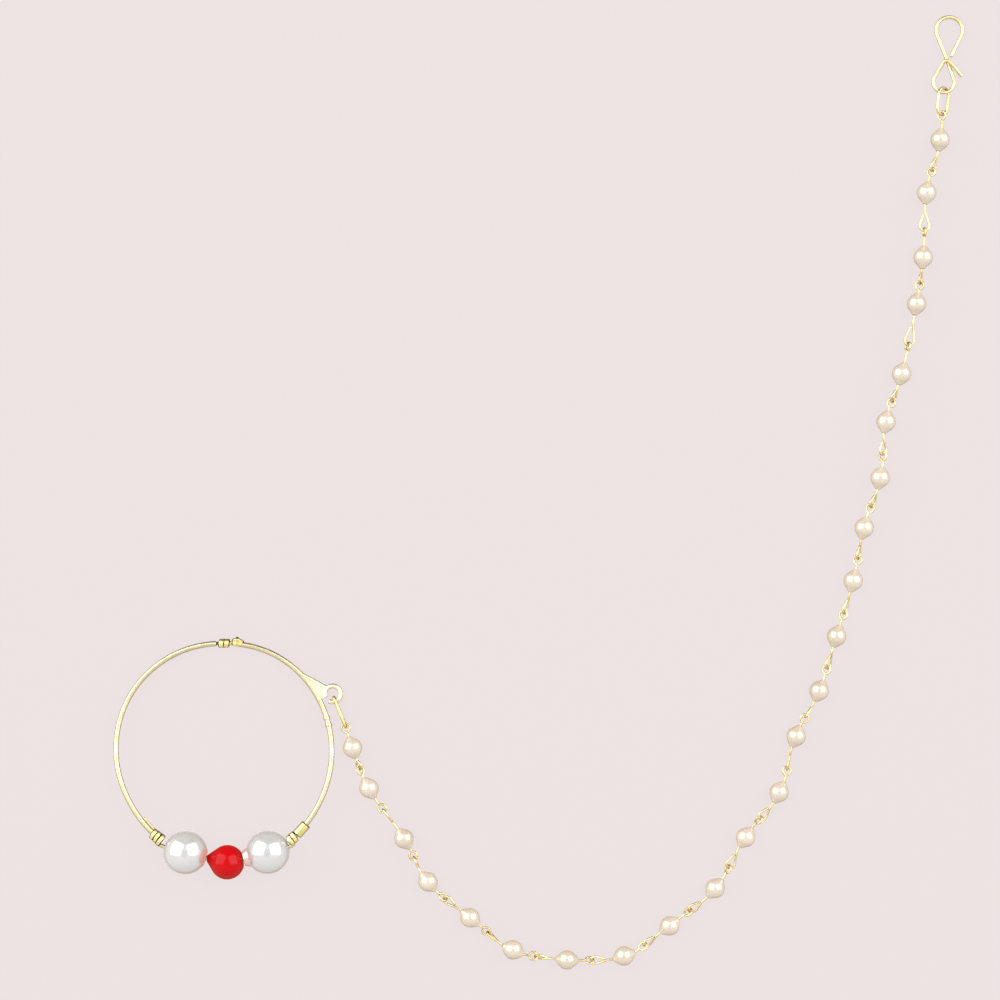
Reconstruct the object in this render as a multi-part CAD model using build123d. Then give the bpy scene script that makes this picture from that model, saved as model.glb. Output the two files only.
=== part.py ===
from build123d import *
import math
import os

# Nath nose ring, laid flat: a wire hoop with two pearls and a red bead, and a chain of small
# pearls that ends in a hair hook. Millimetres, +Z up. Everything is laid out about the hoop's
# centre, then moved so that the origin is at the bottom centre of the whole.

CLEAR = 0.12             # gap between two wires that pass through each other

# Hoop, bent by hand: the radius of its centre line every 30 degrees, from -90 to 270
HOOP_RADII = (18.9, 17.85, 17.3, 17.05, 17.0, 17.0, 16.85, 17.05, 17.15, 17.0, 16.85, 17.2, 17.4)
HOOP_FIRST = -90
HOOP_STEP = 30
DEGREES_PER_MM = math.degrees(1 / 17.1)
HOOP_WIRE = 0.84
CLOSURE_AT = 90.2        # degrees round the hoop, counted from +X
SOCKET_LENGTH = 1.8      # two flat turns that take the hoop's drawn end
SOCKET_OUTER = 0.7       # radius
SOCKET_BORE = 0.36       # radius
TIP_WIRE = 0.5           # the drawn end that slips into the socket
TIP_GAP = 0.3            # bare tip between the hoop wire and the socket
LUMP_AT = 82.9           # the wire's end, folded back on itself
LUMP_LENGTH = 1.9
LUMP_RADIUS = 0.66
LUMP_RISE = 0.22         # how far the fold stands out from the hoop's line

# Bead stretch, at the bottom of the hoop
PEARL_RADIUS = 3.42
PEARL_BORE = 0.45        # radius
LEFT_PEARL = (-5.88, -16.05)
RIGHT_PEARL = (7.09, -16.0)
LEFT_COLLAR = (1.3, 3.3)     # radius of a pearl's collar beside the red bead, and the distance
RIGHT_COLLAR = (1.26, 3.9)   # of its flat end from the pearl's centre
RED_RADIUS = 2.7
RED_BORE = 0.5           # radius
RED_BEAD = (0.72, -17.56)
RED_TIP = (-1.94, -16.98)    # blunt point on the left, above the bead's middle
RED_TIP_RADIUS = 0.72
RED_FLAT = (10, 2.44)    # heading of the flat on the right, and its distance from the middle
BEAD_WIRE = 0.6
WRAP_INNER = 0.53        # radius of the turns wound on the hoop wire
LEFT_TURN = 0.74         # width of one flattened turn
RIGHT_TURN = 0.72
LEFT_TURNS = (0.28, 0.44, 0.5)   # thickness of each turn, the last one beside the pearl
RIGHT_TURNS = (0.42, 0.34)       # the first one beside the pearl
LEFT_WRAP_AT = 232.8     # degrees round the hoop
RIGHT_WRAP_AT = 308.5
SLEEVE_THICK = 0.27
SLEEVE_LENGTH = 1.95
SLEEVE_GAP = 0.12        # from the last turn to the sleeve
TAIL_WIRE = 0.34         # end of the bead wire, laid along the hoop past the left wrap
TAIL_LENGTH = 3.0

# Eye for the chain, soldered to the hoop
EYE_CENTRE = (17.15, 8.85)
EYE_RADIUS = 1.26        # centre line
EYE_WIRE = 0.74
EYE_END = -118.0         # where the curl stops, round its own centre
EYE_START = 208.0        # where it starts, beside the hoop
ARM_FROM = 45.2          # place on the hoop
ARM_TO = 134.0           # place on the eye, round its centre
ARM_WIRE = 0.68
WEB_TO = (28.0, 36.0)    # the flat web between arm and hoop reaches these places
WEB_THICK = 0.5
BANDS_AT = (17.2, 13.4)  # two thin bands on the hoop below the eye
BAND_LENGTH = 0.5
BAND_RADIUS = 0.53

# Chain
CHAIN_PEARL_RADIUS = 1.53
CHAIN_CONE = 46
CHAIN_BORE = 0.3         # radius
CHAIN_WIRE = 0.32
STEM_REACH = 1.9         # from a pearl's centre to the bend of its wire
HOOK_EYE = 0.64          # centre line radius of the small eye on a pearl's hook side
HOOK_EYE_LENGTH = 1.42
HOOK_SHARE = 0.4         # share of the space between two pearls that the small eye takes
HOOK_REACH = 1.72        # its least reach
HOOP_EYE = 0.65          # centre line radius of the long eye on a pearl's hoop side
HOOP_EYE_GROWTH = 0.05   # added for each millimetre of reach past two
HOOP_EYE_SHARE = 0.78    # share of its reach that is loop, not stem
EYE_CROSSING = 80        # degrees between two eyes that hold each other
FIRST_PEARL = (20.3, 0.32)
FIRST_EYE = (19.05, 4.1)     # far end of the first pearl's eye, held by the oval link
LAST_EYE = (113.4, 100.85)   # far end of the last pearl's eye, held by the jump ring

# One row for each chain pearl, from the hoop to the hook.
# pitch: distance from the pearl before; heading: direction of that step, degrees from +X;
# roll: turn of the small eye about the wire, 0 lying flat
CHAIN = (
    # pitch, heading, roll
    (0.00, -72.0, 55),
    (6.91, -67.8, 5),
    (9.71, -55.3, 10),
    (7.78, -60.8, -45),
    (8.74, -40.6, 20),
    (8.47, -36.7, -20),
    (8.68, -10.5, -50),
    (9.03, 4.0, -40),
    (8.61, 33.4, -50),
    (9.32, 39.5, -60),
    (9.39, 59.1, -55),
    (8.86, 53.3, 0),
    (9.25, 73.1, 5),
    (8.06, 63.2, -30),
    (9.04, 72.2, -25),
    (9.15, 73.4, -20),
    (8.55, 78.3, -30),
    (8.29, 72.3, -40),
    (8.90, 83.9, -25),
    (7.97, 72.1, -65),
    (11.31, 77.9, -20),
    (7.42, 82.0, -80),
    (10.21, 86.9, -30),
    (8.64, 75.7, -35),
)

# Oval links at the two ends of the chain
LINK_WIRE = 0.45
LINK_RADIUS = 0.7        # centre line of the link on the hoop's eye
RING_RADIUS = 1.3        # centre line of the jump ring on the hair hook
RING_ROLL = 45
RING_SLACK = 0.24        # room between the jump ring and the hook's wire

# Hair hook: one wire, two loops. Its points are counted from where it crosses itself.
HOOK_CROSSING = (114.5, 108.65)
HOOK_WIRE = 0.55
UPPER_LOOP = (0.26, 5.25)
UPPER_RADIUS = 2.1
LOWER_LOOP = (-0.74, -3.13)
LOWER_RADIUS = 1.66
HOOK_TIP = (0.45, 0.95)
FOLD = (-0.42, 0.5)          # the wire turns back here, over itself
FOLD_PAST = (0.62, -0.55)
TAIL_END = (2.15, -2.25)
RING_LIFT = 1.3              # height of the wire that the jump ring holds up


def unit(vector):
    return vector / vector.length


def polar(angle, radius=1.0):
    return Vector(radius * math.cos(math.radians(angle)), radius * math.sin(math.radians(angle)), 0)


def tube(edges, diameter):
    """A round wire swept along joined edges."""
    path = Wire(edges)
    return sweep(Plane(path @ 0, z_dir=path % 0) * Circle(diameter / 2), path=path)


def bent_run(points, reach=9.0):
    """Straight runs joined by arcs that start at most `reach` before each corner."""
    edges = []
    start = points[0]
    for before, corner, after in zip(points, points[1:], points[2:]):
        heading = unit(corner - before)
        leaving = unit(after - corner)
        if heading.get_angle(leaving) < 0.3:
            continue
        room = min(reach, 0.45 * min((corner - before).length, (after - corner).length))
        edges.append(Edge.make_line(start, corner - heading * room))
        edges.append(Edge.make_tangent_arc(corner - heading * room, heading, corner + leaving * room))
        start = corner + leaving * room
    edges.append(Edge.make_line(start, points[-1]))
    return edges


def tangent_point(outside, centre, radius, side):
    """Where a line from a point outside a circle in XY touches it, on its left (1) or right (-1)."""
    away = centre - outside
    swing = side * math.asin(radius / away.length)
    heading = math.atan2(away.Y, away.X) + swing
    run = math.sqrt(away.length ** 2 - radius ** 2)
    return outside + Vector(run * math.cos(heading), run * math.sin(heading), 0)


def hoop_radius(angle):
    """The table's radius at an angle, run smoothly between its four nearest rows."""
    place = (angle - HOOP_FIRST) / HOOP_STEP
    row = int(place)
    past = place - row
    before, here, after, beyond = HOOP_RADII[row - 1:row + 3]
    rise = after - before
    bend = 2 * before - 5 * here + 4 * after - beyond
    twist = 3 * (here - after) + beyond - before
    return here + past / 2 * (rise + past * (bend + past * twist))


def on_hoop(angle, outward=0.0):
    return polar(angle, hoop_radius(angle) + outward)


def hoop_run(start, end, outward=0.0):
    """A stretch of the hoop's line, or of one beside it."""
    count = max(3, math.ceil(abs(end - start) / 6))
    return Edge.make_spline([on_hoop(start + (end - start) * n / count, outward) for n in range(count + 1)])


def along_hoop(angle, outward=0.0):
    """A frame on the hoop wire: Z runs along the wire, X points away from the hoop's centre."""
    along = unit(on_hoop(angle + 0.5) - on_hoop(angle - 0.5))
    across = Vector(along.Y, -along.X, 0)
    return Plane(on_hoop(angle) + across * outward, x_dir=across, z_dir=along)


def turned(frame, outline):
    """A solid of revolution: the outline's X is its radius and its Y runs along the frame's Z."""
    standing = Plane.XZ * outline
    return frame * revolve(standing, Axis.Z)


def wound_turns(frame, width, inner, thicknesses):
    """Flattened turns of wire side by side, each joined to the next, from -Z to +Z."""
    first = -width * (len(thicknesses) - 1) / 2
    outline = Sketch() + [
        Pos(inner + thick / 2, first + width * n) * SlotOverall(width * 1.08, thick, rotation=90)
        for n, thick in enumerate(thicknesses)
    ]
    return turned(frame, outline)


def lemon_outline(radius, cone, bore):
    """Half of a bead whose round body runs out into a cone at each end of its bore."""
    swing = math.radians(cone)
    rim = bore + 0.06
    end = radius / math.cos(swing) - rim * math.tan(swing)
    neck = (radius * math.sin(swing), radius * math.cos(swing))
    line = Polyline((neck[0], -neck[1]), (rim, -end), (bore, -end), (bore, end), (rim, end), neck)
    body = ThreePointArc(neck, (radius, 0), (neck[0], -neck[1]))
    return make_face([line.edges(), body.edges()])


def collar_outline(radius, bore, rim, end):
    """Half of a ball with a short collar round its bore, on its -Y side."""
    swing = math.asin(1.2 * rim / radius)
    shoulder = (radius * math.sin(swing), -radius * math.cos(swing))
    top = (bore, math.sqrt(radius ** 2 - bore ** 2))
    line = Polyline(top, (bore, -end), (rim, -end), shoulder)
    body = ThreePointArc(shoulder, (radius, 0), top)
    return make_face([line.edges(), body.edges()])


def bead_frame(centre, heading):
    return Plane(centre, x_dir=Vector(0, 0, -1), z_dir=heading)


def teardrop(corner, direction, roll, radius, length):
    """Points of an eye: where its sides touch its round end, that end's tip, and the wire's end."""
    level = Vector(-direction.Y, direction.X, 0)
    sideways = level * math.cos(math.radians(roll)) + Vector(0, 0, math.sin(math.radians(roll)))
    spread = math.asin(radius / (length - radius))
    side_run = (length - radius) * math.cos(spread)
    going = direction * math.cos(spread) + sideways * math.sin(spread)
    coming = direction * math.cos(spread) - sideways * math.sin(spread)
    wire = CHAIN_WIRE / 2
    short = (wire + 0.1 + wire * math.cos(2 * spread)) / math.sin(2 * spread)
    return {
        "near side": corner + going * side_run,
        "tip": corner + direction * length,
        "far side": corner + coming * side_run,
        "end": corner + coming * short,
    }


def eyed_wire(centre, heading, hook_eye, hoop_eye):
    """A chain pearl's wire, with an eye turned at each end. An eye is its direction, roll, reach,
    radius and loop length."""
    sides = []
    for sign, (direction, roll, reach, radius, length) in ((1, hook_eye), (-1, hoop_eye)):
        bend = centre + heading * STEM_REACH * sign
        corner = bend + direction * (reach - length)
        sides.append((bend, corner, teardrop(corner, direction, roll, radius, length)))
    (hook_bend, hook_corner, hook), (hoop_bend, hoop_corner, hoop) = sides
    edges = [
        Edge.make_line(hook["end"], hook["far side"]),
        Edge.make_three_point_arc(hook["far side"], hook["tip"], hook["near side"]),
    ]
    edges += bent_run([
        hook["near side"], hook_corner, hook_bend, hoop_bend, hoop_corner, hoop["near side"],
    ], 0.35)
    edges += [
        Edge.make_three_point_arc(hoop["near side"], hoop["tip"], hoop["far side"]),
        Edge.make_line(hoop["far side"], hoop["end"]),
    ]
    return tube(edges, CHAIN_WIRE)


def oval_link(start, end, radius, roll):
    """A closed link whose centre line reaches from start to end, turned about that line."""
    run = unit(end - start)
    level = unit(Vector(-run.Y, run.X, 0))
    across = level * math.cos(math.radians(roll)) + Vector(0, 0, math.sin(math.radians(roll)))
    near = start + run * radius
    far = end - run * radius
    edges = [
        Edge.make_line(near + across * radius, far + across * radius),
        Edge.make_three_point_arc(far + across * radius, end, far - across * radius),
        Edge.make_line(far - across * radius, near - across * radius),
        Edge.make_three_point_arc(near - across * radius, start, near + across * radius),
    ]
    return tube(edges, LINK_WIRE)


# Where the beads sit, and the bends of the wire between them

left_pearl = Vector(*LEFT_PEARL, 0)
right_pearl = Vector(*RIGHT_PEARL, 0)
red_bead = Vector(*RED_BEAD, 0)
red_tip = Vector(*RED_TIP, 0)
left_bend = red_tip - Vector(math.sqrt(RED_TIP_RADIUS ** 2 - RED_BORE ** 2), 0, 0)
right_bend = Vector(red_bead.X + RED_FLAT[1] + 0.14, red_tip.Y, 0)
left_heading = unit(left_pearl - left_bend)
right_heading = unit(right_pearl - right_bend)

sleeve_at = RIGHT_WRAP_AT + (RIGHT_TURN + SLEEVE_GAP + SLEEVE_LENGTH / 2) * DEGREES_PER_MM
left_end_at = LEFT_WRAP_AT + 0.45 * LEFT_TURN * DEGREES_PER_MM
right_end_at = RIGHT_WRAP_AT - 0.1 * RIGHT_TURN * DEGREES_PER_MM

# The hoop leans: its pearls and its closure both touch the ground

closure_radius = hoop_radius(CLOSURE_AT)
lean = math.asin((PEARL_RADIUS - SOCKET_OUTER) / (closure_radius - LEFT_PEARL[1]))
hoop_height = SOCKET_OUTER + closure_radius * math.sin(lean)
hoop_place = Location((0, 0, hoop_height), (-math.degrees(lean), 0, 0))


def make_hoop_left():
    """Left half: the hoop wire, and the drawn tip that slips into the socket."""
    socket_near = CLOSURE_AT + SOCKET_LENGTH / 2 * DEGREES_PER_MM
    wire_end = socket_near + TIP_GAP * DEGREES_PER_MM
    tip_end = CLOSURE_AT - (SOCKET_LENGTH / 2 - 0.35) * DEGREES_PER_MM
    wire = tube([hoop_run(wire_end, left_end_at)], HOOP_WIRE)
    tip = tube([hoop_run(wire_end + DEGREES_PER_MM, tip_end)], TIP_WIRE)
    return wire + tip


def make_socket():
    """Two flat turns round a blind bore, and the neck that holds them to the folded end."""
    frame = along_hoop(CLOSURE_AT)
    wall = SOCKET_OUTER - SOCKET_BORE
    turns = wound_turns(frame, SOCKET_LENGTH / 2, SOCKET_BORE, (wall, wall))
    floor = frame.offset(-SOCKET_LENGTH / 2 + 0.12) * Cylinder(SOCKET_BORE + 0.1, 0.24)
    neck_from = CLOSURE_AT - (SOCKET_LENGTH / 2 - 0.1) * DEGREES_PER_MM
    neck = tube([Edge.make_line(on_hoop(neck_from), on_hoop(LUMP_AT, LUMP_RISE))], 0.62)
    return turns + floor + neck


def make_lump():
    """The hoop wire's end folded back over itself, with its cut point standing up."""
    outline = SlotOverall(LUMP_LENGTH, 2 * LUMP_RADIUS, rotation=90)
    outline -= Pos(-LUMP_RADIUS, 0) * Rectangle(2 * LUMP_RADIUS, 2 * LUMP_LENGTH)
    body = turned(along_hoop(LUMP_AT, LUMP_RISE), outline)
    nib_foot = on_hoop(LUMP_AT + 0.6, LUMP_RISE + LUMP_RADIUS - 0.09)
    nib = Plane(nib_foot, z_dir=polar(LUMP_AT + 0.6)) * Cone(0.42, 0.08, 0.42)
    return body + nib


def make_chain_eye():
    """An open ring on an arm, with a flat web between the arm and the hoop."""
    root = on_hoop(ARM_FROM)
    centre = Vector(*EYE_CENTRE, 0)
    start, top, join, end = [
        centre + polar(angle, EYE_RADIUS)
        for angle in (EYE_START, (EYE_START + EYE_END) / 2, ARM_TO, EYE_END)
    ]
    ring = tube([Edge.make_three_point_arc(start, top, end)], EYE_WIRE)
    arm = tube([Edge.make_line(root, join)], ARM_WIRE)
    corners = [root, join, centre, start] + [on_hoop(angle) for angle in WEB_TO]
    web = make_face(Polyline(*corners, close=True)) - Pos(*EYE_CENTRE) * Circle(EYE_RADIUS)
    return ring + arm + extrude(web, WEB_THICK / 2, both=True)


def make_hoop_right():
    """Right half: hoop wire, closure, chain eye and two thin bands, soldered into one."""
    wire = tube([hoop_run(right_end_at - 360, LUMP_AT)], HOOP_WIRE)
    bands = [along_hoop(angle) * Cylinder(BAND_RADIUS, BAND_LENGTH) for angle in BANDS_AT]
    return wire + make_lump() + make_socket() + make_chain_eye() + bands


def make_bead_wire():
    """The wire through the three beads, wound on both ends of the hoop."""
    left_frame = along_hoop(LEFT_WRAP_AT)
    right_frame = along_hoop(RIGHT_WRAP_AT - 360)
    left_turns = wound_turns(left_frame, LEFT_TURN, WRAP_INNER, LEFT_TURNS)
    right_turns = wound_turns(right_frame, RIGHT_TURN, WRAP_INNER, RIGHT_TURNS)
    left_in = left_frame.from_local_coords((WRAP_INNER + LEFT_TURNS[-1] / 2, 0, LEFT_TURN))
    right_in = right_frame.from_local_coords((WRAP_INNER + RIGHT_TURNS[0] / 2, 0, -RIGHT_TURN / 2))
    left_out = left_pearl + left_heading * (PEARL_RADIUS + 0.3)
    right_out = right_pearl + right_heading * (PEARL_RADIUS + 0.3)
    run = bent_run([left_in, left_out, left_bend, right_bend, right_out, right_in], 0.35)
    tail_from = LEFT_WRAP_AT - LEFT_TURN * DEGREES_PER_MM
    tail = hoop_run(tail_from, tail_from - TAIL_LENGTH * DEGREES_PER_MM, -WRAP_INNER - TAIL_WIRE / 2)
    return left_turns + right_turns + tube(run, BEAD_WIRE) + tube([tail], TAIL_WIRE)


def make_red_bead():
    """A ball drawn out to a blunt point, with a flat on the other side and a straight bore."""
    away = red_tip - red_bead
    slope = math.asin((RED_RADIUS - RED_TIP_RADIUS) / away.length)
    shoulder = (RED_RADIUS * math.cos(slope), RED_RADIUS * math.sin(slope))
    brow = (RED_TIP_RADIUS * math.cos(slope), away.length + RED_TIP_RADIUS * math.sin(slope))
    bottom = (0, -RED_RADIUS)
    top = (0, away.length + RED_TIP_RADIUS)
    brow_middle = math.radians(45) + slope / 2
    round_tip = ThreePointArc(
        brow,
        (RED_TIP_RADIUS * math.cos(brow_middle), away.length + RED_TIP_RADIUS * math.sin(brow_middle)),
        top,
    )
    edges = [
        ThreePointArc(bottom, (RED_RADIUS, 0), shoulder).edges(),
        Line(shoulder, brow).edges(),
        round_tip.edges(),
        Line(top, bottom).edges(),
    ]
    body = turned(bead_frame(red_bead, unit(away)), make_face(edges))
    heading, distance = RED_FLAT
    beyond = Plane(red_bead + polar(heading, distance), z_dir=polar(heading))
    body -= beyond * Box(6, 6, 6, align=(Align.CENTER, Align.CENTER, Align.MIN))
    return body - bead_frame(Vector(0, red_tip.Y, 0), Vector(1, 0, 0)) * Cylinder(RED_BORE, 12)


def make_sleeve():
    ring = Pos(WRAP_INNER + SLEEVE_THICK / 2, 0) * RectangleRounded(SLEEVE_THICK, SLEEVE_LENGTH, 0.1)
    return turned(along_hoop(sleeve_at - 360), ring)


def place_chain():
    """Centres of the chain pearls, walked step by step, and the direction of each one's wire."""
    centres = []
    here = Vector(*FIRST_PEARL, CHAIN_PEARL_RADIUS)
    for pitch, heading, roll in CHAIN:
        here = here + polar(heading, pitch)
        centres.append(here)
    steps = [polar(heading) for pitch, heading, roll in CHAIN]
    steps.append(unit(Vector(*LAST_EYE, CHAIN_PEARL_RADIUS) - centres[-1]))
    headings = [unit(before + after) for before, after in zip(steps, steps[1:])]
    return centres, headings


def make_chain_links(centres, headings):
    """One eyed wire for each pearl. Each small eye holds the long eye of the next wire."""
    small = []
    long = []
    start = centres[0] - headings[0] * STEM_REACH
    first = Vector(*FIRST_EYE, CHAIN_PEARL_RADIUS) - start
    long.append((unit(first), 0, first.length))
    for n in range(len(CHAIN) - 1):
        near = centres[n] + headings[n] * STEM_REACH
        far = centres[n + 1] - headings[n + 1] * STEM_REACH
        total = (far - near).length + CHAIN_WIRE + CLEAR
        reach = max(HOOK_REACH, HOOK_SHARE * total)
        roll = CHAIN[n][2]
        small.append((unit(far - near), roll, reach))
        long.append((unit(near - far), -roll - EYE_CROSSING, total - reach))
    end = Vector(*LAST_EYE, CHAIN_PEARL_RADIUS) - centres[-1] - headings[-1] * STEM_REACH
    small.append((unit(end), CHAIN[-1][2], end.length))
    links = []
    for centre, heading, hook_side, hoop_side in zip(centres, headings, small, long):
        long_radius = HOOP_EYE + HOOP_EYE_GROWTH * (hoop_side[2] - 2)
        hook_eye = (*hook_side, HOOK_EYE, HOOK_EYE_LENGTH)
        hoop_eye = (*hoop_side, long_radius, HOOP_EYE_SHARE * hoop_side[2])
        links.append(eyed_wire(centre, heading, hook_eye, hoop_eye))
    return links


def make_eye_link():
    """The oval link that holds the first pearl's eye to the hoop's eye, standing on edge."""
    far_eye = Vector(*FIRST_EYE, CHAIN_PEARL_RADIUS)
    middle = (hoop_place * Pos(*EYE_CENTRE, 0)).position
    away = unit(Vector(far_eye.X - middle.X, far_eye.Y - middle.Y, 0))
    held = hoop_place * Location(Vector(*EYE_CENTRE, 0) + away * EYE_RADIUS)
    run = unit(far_eye - held.position)
    start = held.position - run * (EYE_WIRE / 2 + LINK_WIRE / 2 + CLEAR)
    end = far_eye + run * (CHAIN_WIRE / 2 + LINK_WIRE / 2 + CLEAR)
    return oval_link(start, end, LINK_RADIUS, 90)


def make_jump_ring():
    low_wire = LOWER_LOOP[1] - LOWER_RADIUS
    held = Vector(HOOK_CROSSING[0] + LOWER_LOOP[0], HOOK_CROSSING[1] + low_wire, RING_LIFT)
    eye = Vector(*LAST_EYE, CHAIN_PEARL_RADIUS)
    run = unit(held - eye)
    start = eye - run * (CHAIN_WIRE / 2 + LINK_WIRE / 2 + CLEAR)
    end = held + run * (HOOK_WIRE / 2 + LINK_WIRE / 2 + RING_SLACK)
    return oval_link(start, end, RING_RADIUS, RING_ROLL)


def make_hair_hook():
    """One wire: an open upper loop, a stem, a lower loop, and a tail folded over the stem."""
    upper = Vector(*UPPER_LOOP, 0)
    lower = Vector(*LOWER_LOOP, 0)
    crossing = Vector(0, 0, 0)
    lift = Vector(0, 0, HOOK_WIRE + CLEAR)
    tip = Vector(*HOOK_TIP, 0)
    fold = Vector(*FOLD, 0)
    upper_right = tangent_point(tip, upper, UPPER_RADIUS, -1)
    upper_left = tangent_point(crossing, upper, UPPER_RADIUS, 1)
    lower_right = tangent_point(crossing, lower, LOWER_RADIUS, 1)
    lower_left = tangent_point(fold, lower, LOWER_RADIUS, -1)
    top = upper + Vector(0, UPPER_RADIUS, 0)
    bottom = lower - Vector(0, LOWER_RADIUS, 0)
    start = [Edge.make_line(tip, upper_right), Edge.make_three_point_arc(upper_right, top, upper_left)]
    stem = bent_run([upper_left, crossing, lower_right])
    turn = [Edge.make_three_point_arc(lower_right, bottom, lower_left)]
    rising = lower_left + (fold - lower_left) * 0.35
    tail = bent_run([
        lower_left, rising, fold + lift, Vector(*FOLD_PAST, 0) + lift,
        Vector(*TAIL_END, 0) + lift * 0.3,
    ])
    flat = tube(start + stem + turn + tail, HOOK_WIRE)
    length = UPPER_LOOP[1] + UPPER_RADIUS - LOWER_LOOP[1] + LOWER_RADIUS
    slope = math.asin((RING_LIFT - HOOK_WIRE / 2) / length)
    crossing_height = HOOK_WIRE / 2 + (UPPER_LOOP[1] + UPPER_RADIUS) * math.sin(slope)
    return Location((*HOOK_CROSSING, crossing_height), (-math.degrees(slope), 0, 0)) * flat


nodes = {
    "hoop_left": hoop_place * make_hoop_left(),
    "hoop_right": hoop_place * make_hoop_right(),
    "bead_wire": hoop_place * make_bead_wire(),
    "crimp_sleeve": hoop_place * make_sleeve(),
    "pearl_left": hoop_place * turned(
        bead_frame(left_pearl, left_heading), collar_outline(PEARL_RADIUS, PEARL_BORE, *LEFT_COLLAR)),
    "pearl_right": hoop_place * turned(
        bead_frame(right_pearl, right_heading), collar_outline(PEARL_RADIUS, PEARL_BORE, *RIGHT_COLLAR)),
    "red_bead": hoop_place * make_red_bead(),
}
centres, headings = place_chain()
chain_pearl = lemon_outline(CHAIN_PEARL_RADIUS, CHAIN_CONE, CHAIN_BORE)
for number, (centre, heading) in enumerate(zip(centres, headings), 1):
    nodes[f"chain_pearl_{number:02d}"] = turned(bead_frame(centre, heading), chain_pearl)
nodes["chain_links"] = Compound(make_chain_links(centres, headings))
nodes["eye_link"] = make_eye_link()
nodes["jump_ring"] = make_jump_ring()
nodes["hair_hook"] = make_hair_hook()

boxes = [piece.bounding_box() for piece in nodes.values()]
lowest = [min(tuple(box.min)[axis] for box in boxes) for axis in range(3)]
highest = [max(tuple(box.max)[axis] for box in boxes) for axis in range(3)]
to_origin = Pos(-(lowest[0] + highest[0]) / 2, -(lowest[1] + highest[1]) / 2, -lowest[2])
os.makedirs("parts", exist_ok=True)
for name, piece in nodes.items():
    export_step(to_origin * piece, f"parts/{name}.step")
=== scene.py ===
import math

import bmesh
import bpy
from mathutils import Matrix, Vector


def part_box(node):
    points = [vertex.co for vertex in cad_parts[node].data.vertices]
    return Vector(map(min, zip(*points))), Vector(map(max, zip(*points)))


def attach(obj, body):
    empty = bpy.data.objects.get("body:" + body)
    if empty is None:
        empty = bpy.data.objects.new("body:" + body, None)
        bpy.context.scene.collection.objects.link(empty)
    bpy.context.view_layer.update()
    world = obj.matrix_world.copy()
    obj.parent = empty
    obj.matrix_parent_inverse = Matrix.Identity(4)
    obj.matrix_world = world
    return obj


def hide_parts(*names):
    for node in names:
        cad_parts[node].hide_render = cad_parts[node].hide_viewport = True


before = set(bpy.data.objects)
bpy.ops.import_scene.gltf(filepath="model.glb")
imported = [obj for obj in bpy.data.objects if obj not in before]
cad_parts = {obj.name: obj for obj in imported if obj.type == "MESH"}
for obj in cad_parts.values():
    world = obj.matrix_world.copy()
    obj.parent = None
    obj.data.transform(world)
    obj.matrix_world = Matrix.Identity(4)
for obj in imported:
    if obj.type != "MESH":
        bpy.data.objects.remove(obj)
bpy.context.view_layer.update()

# ----------------------------------------------------------------------
# Hoop, left half: drawn brass wire, plated pale gold and bent round by hand. Its end is drawn
# down to a thin tip that slips into the socket of the other half. The pearls hold one side
# of the hoop off the ground, so it leans a few degrees.

MM = 0.001                   # the lengths below are millimetres
# Radius of the wire's centre line every 30 degrees, from -90 to 270, counted from +X
HOOP_RADII = (18.9, 17.85, 17.3, 17.05, 17.0, 17.0, 16.85, 17.05, 17.15, 17.0, 16.85, 17.2, 17.4)
HOOP_FIRST = -90
HOOP_STEP = 30
DEGREES_PER_MM = math.degrees(1 / 17.1)
HOOP_WIRE = 0.83
CLOSURE_AT = 90.2
SOCKET_LENGTH = 1.8
SOCKET_OUTER = 0.7           # radius
TIP_WIRE = 0.5
TIP_GAP = 0.3                # bare tip between the full wire and the socket
TIP_SHORT = 0.35             # the tip stops this far before the end of the socket
TIP_ROOT = 3                 # degrees that the tip's wire runs on inside the full wire
PEARL_RADIUS = 3.42
LEFT_PEARL = Vector((-5.88, -16.05, 0))
CHAIN_PEARL_RADIUS = 1.53
FIRST_PEARL = Vector((20.3, 0.32, CHAIN_PEARL_RADIUS))
LEFT_WRAP_AT = 232.8
LEFT_TURN = 0.74


def node_middle(node):
    low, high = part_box(node)
    return (Vector(low) + Vector(high)) / 2


def polar(angle, radius=1.0):
    return Vector((math.cos(math.radians(angle)), math.sin(math.radians(angle)), 0)) * radius


def hoop_radius(angle):
    """The table's radius at an angle, run smoothly between its four nearest rows."""
    place = (angle - HOOP_FIRST) / HOOP_STEP
    row = int(place)
    past = place - row
    before, here, after, beyond = HOOP_RADII[row - 1:row + 3]
    rise = after - before
    bend = 2 * before - 5 * here + 4 * after - beyond
    twist = 3 * (here - after) + beyond - before
    return here + past / 2 * (rise + past * (bend + past * twist))


def on_hoop(angle, outward=0.0):
    return polar(angle, hoop_radius(angle) + outward)


def hoop_run(start, end, outward=0.0, step=1.5):
    count = max(2, math.ceil(abs(end - start) / step))
    return [on_hoop(start + (end - start) * n / count, outward) for n in range(count + 1)]


def soft_ends(points, wire, at_start=True, at_end=True):
    """Rounds the cut ends of a wire. Gives the points and how thick the wire is at each."""
    depth = wire * 0.3
    steps = 4
    points = list(points)
    sizes = [1.0] * len(points)
    for wanted in (at_end, at_start):
        if wanted:
            last = points.pop()
            sizes.pop()
            along = (last - points[-1]).normalized()
            while (last - points[-1]).length < depth * 1.2:
                points.pop()
                sizes.pop()
            for n in range(steps + 1):
                turn = math.pi / 2 * n / steps
                points.append(last - along * depth * (1 - math.sin(turn)))
                sizes.append(max(0.1, math.cos(turn) ** 0.6))
        points.reverse()
        sizes.reverse()
    return points, sizes


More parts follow.
